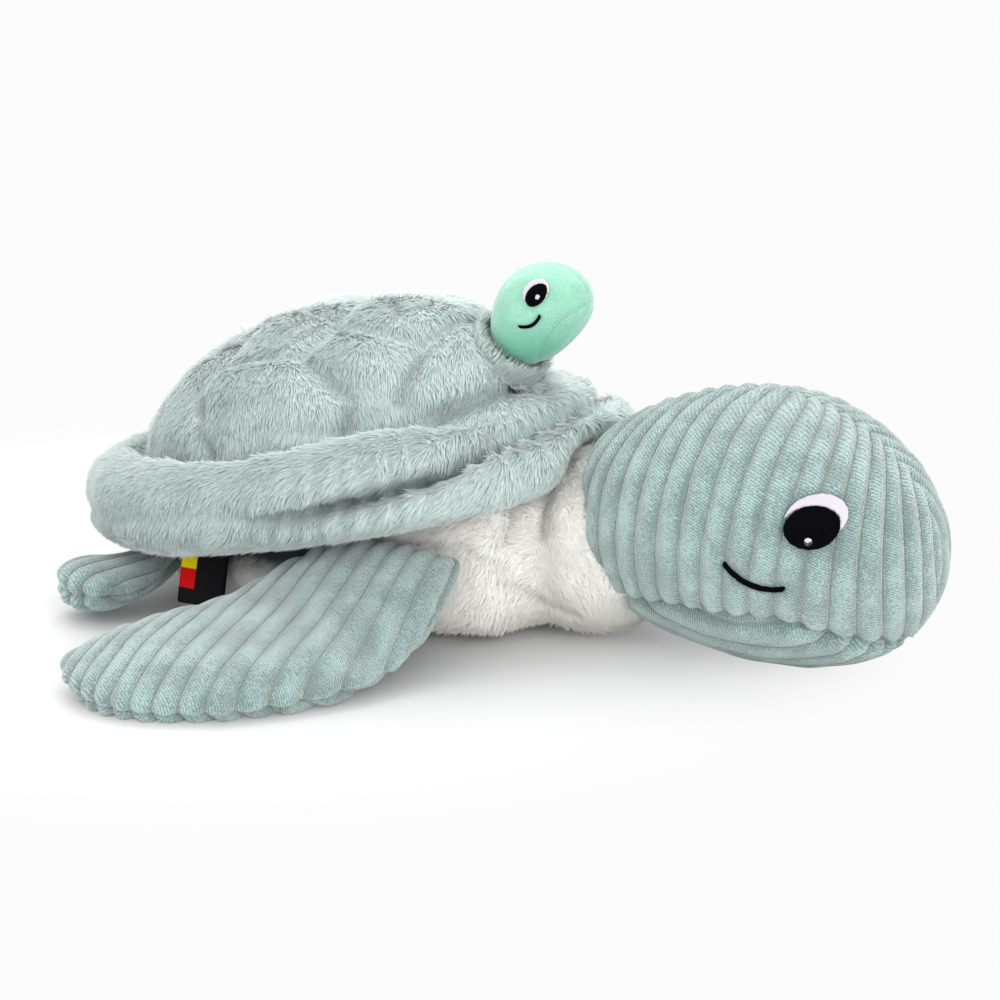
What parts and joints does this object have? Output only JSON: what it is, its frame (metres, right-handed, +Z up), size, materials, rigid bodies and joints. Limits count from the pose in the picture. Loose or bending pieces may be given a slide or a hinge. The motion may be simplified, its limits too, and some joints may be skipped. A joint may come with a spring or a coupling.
{
  "type": "plush turtle",
  "caption": "Plush sea turtle lying flat, with corduroy head and flippers, a quilted fur shell and a small turtle held in a pocket of the shell.",
  "frame": {"origin": "middle of the flat of the belly that rests on the floor", "axes": "+X towards the nose, +Y to the turtle's left, +Z up from the floor"},
  "size_m": [0.3853, 0.3778, 0.1536],
  "materials": {
    "body_back_panel": "short plush",
    "body_belly_panel": "short plush",
    "body_stuffing": "loose polyester filling",
    "pocket_lining": "long pile fur",
    "shell_dome_cover": "long pile fur",
    "shell_dome_stuffing": "loose polyester filling",
    "brim_upper_cover": "long pile fur",
    "brim_under_cover": "long pile fur",
    "brim_stuffing": "loose polyester filling",
    "neck_cover": "short plush",
    "neck_stuffing": "loose polyester filling",
    "head_panel_right": "wide wale corduroy plush",
    "head_panel_left": "wide wale corduroy plush",
    "chin_gusset": "wide wale corduroy plush",
    "head_stuffing": "loose polyester filling",
    "eye_white_right": "satin stitched white thread",
    "eye_white_left": "satin stitched white thread",
    "eye_pupil_right": "satin stitched black thread",
    "eye_pupil_left": "satin stitched black thread",
    "eye_glint_right": "satin stitched white thread",
    "eye_glint_left": "satin stitched white thread",
    "mouth_right": "satin stitched black thread",
    "mouth_left": "satin stitched black thread",
    "baby_body_cover": "smooth velour",
    "baby_body_stuffing": "loose polyester filling",
    "baby_head_panel_right": "smooth velour",
    "baby_head_panel_left": "smooth velour",
    "baby_chin_gusset": "smooth velour",
    "baby_head_stuffing": "loose polyester filling",
    "baby_eye_white_right": "satin stitched white thread",
    "baby_eye_white_left": "satin stitched white thread",
    "baby_eye_pupil_right": "satin stitched black thread",
    "baby_eye_pupil_left": "satin stitched black thread",
    "baby_eye_glint_right": "satin stitched white thread",
    "baby_eye_glint_left": "satin stitched white thread",
    "baby_mouth_right": "satin stitched black thread",
    "baby_mouth_left": "satin stitched black thread",
    "side_label": "woven black",
    "front_flipper_upper_panel_right": "wide wale corduroy plush",
    "front_flipper_under_panel_right": "wide wale corduroy plush",
    "front_flipper_stuffing_right": "loose polyester filling",
    "front_flipper_upper_panel_left": "wide wale corduroy plush",
    "front_flipper_under_panel_left": "wide wale corduroy plush",
    "front_flipper_stuffing_left": "loose polyester filling",
    "rear_flipper_upper_panel_right": "wide wale corduroy plush",
    "rear_flipper_under_panel_right": "wide wale corduroy plush",
    "rear_flipper_stuffing_right": "loose polyester filling",
    "rear_flipper_upper_panel_left": "wide wale corduroy plush",
    "rear_flipper_under_panel_left": "wide wale corduroy plush",
    "rear_flipper_stuffing_left": "loose polyester filling"
  },
  "bodies": {
    "torso": {"body_back_panel": "body_back_panel", "body_belly_panel": "body_belly_panel", "body_stuffing": "body_stuffing", "pocket_lining": "pocket_lining", "shell_dome_cover": "shell_dome_cover", "shell_dome_stuffing": "shell_dome_stuffing", "brim_upper_cover": "brim_upper_cover", "brim_under_cover": "brim_under_cover", "brim_stuffing": "brim_stuffing"},
    "neck": {"neck_cover": "neck_cover", "neck_stuffing": "neck_stuffing"},
    "head": {"head_panel_right": "head_panel_right", "head_panel_left": "head_panel_left", "chin_gusset": "chin_gusset", "head_stuffing": "head_stuffing", "eye_white_right": "eye_white_right", "eye_white_left": "eye_white_left", "eye_pupil_right": "eye_pupil_right", "eye_pupil_left": "eye_pupil_left", "eye_glint_right": "eye_glint_right", "eye_glint_left": "eye_glint_left", "mouth_right": "mouth_right", "mouth_left": "mouth_left"},
    "baby": {"baby_body_cover": "baby_body_cover", "baby_body_stuffing": "baby_body_stuffing", "baby_head_panel_right": "baby_head_panel_right", "baby_head_panel_left": "baby_head_panel_left", "baby_chin_gusset": "baby_chin_gusset", "baby_head_stuffing": "baby_head_stuffing", "baby_eye_white_right": "baby_eye_white_right", "baby_eye_white_left": "baby_eye_white_left", "baby_eye_pupil_right": "baby_eye_pupil_right", "baby_eye_pupil_left": "baby_eye_pupil_left", "baby_eye_glint_right": "baby_eye_glint_right", "baby_eye_glint_left": "baby_eye_glint_left", "baby_mouth_right": "baby_mouth_right", "baby_mouth_left": "baby_mouth_left"},
    "label": {"side_label": "side_label"},
    "front_flipper_right": {"front_flipper_upper_panel_right": "front_flipper_upper_panel_right", "front_flipper_under_panel_right": "front_flipper_under_panel_right", "front_flipper_stuffing_right": "front_flipper_stuffing_right"},
    "front_flipper_left": {"front_flipper_upper_panel_left": "front_flipper_upper_panel_left", "front_flipper_under_panel_left": "front_flipper_under_panel_left", "front_flipper_stuffing_left": "front_flipper_stuffing_left"},
    "rear_flipper_right": {"rear_flipper_upper_panel_right": "rear_flipper_upper_panel_right", "rear_flipper_under_panel_right": "rear_flipper_under_panel_right", "rear_flipper_stuffing_right": "rear_flipper_stuffing_right"},
    "rear_flipper_left": {"rear_flipper_upper_panel_left": "rear_flipper_upper_panel_left", "rear_flipper_under_panel_left": "rear_flipper_under_panel_left", "rear_flipper_stuffing_left": "rear_flipper_stuffing_left"}
  },
  "joints": [
    {"name": "neck_turn", "type": "hinge", "parent": "torso", "child": "neck", "pos_m": [0.0945, 0, 0.039], "axis": [0, 0, 1], "range_deg": [-10, 10]},
    {"name": "head_nod", "type": "hinge", "parent": "neck", "child": "head", "pos_m": [0.0945, 0, 0.039], "axis": [0, 1, 0], "range_deg": [-5, 10]},
    {"name": "front_flipper_right_flap", "type": "hinge", "parent": "torso", "child": "front_flipper_right", "pos_m": [0.035, -0.0608, 0.0455], "axis": [-1, 0, 0], "range_deg": [-8, 8]},
    {"name": "rear_flipper_right_flap", "type": "hinge", "parent": "torso", "child": "rear_flipper_right", "pos_m": [-0.084, -0.047, 0.0215], "axis": [-0.8829, 0.4695, 0], "range_deg": [-6, 3]},
    {"name": "front_flipper_left_flap", "type": "hinge", "parent": "torso", "child": "front_flipper_left", "pos_m": [0.035, 0.0608, 0.0455], "axis": [1, 0, 0], "range_deg": [-8, 8]},
    {"name": "rear_flipper_left_flap", "type": "hinge", "parent": "torso", "child": "rear_flipper_left", "pos_m": [-0.084, 0.047, 0.0215], "axis": [0.8829, 0.4695, 0], "range_deg": [-6, 3]},
    {"name": "baby_pull", "type": "slide", "parent": "torso", "child": "baby", "axis": [0.6157, 0, 0.788], "range_m": [0, 0.06]},
    {"name": "label_flap", "type": "hinge", "parent": "torso", "child": "label", "pos_m": [-0.058, -0.06, 0.032], "axis": [-1, 0, 0], "range_deg": [-6, 25]}
  ]
}
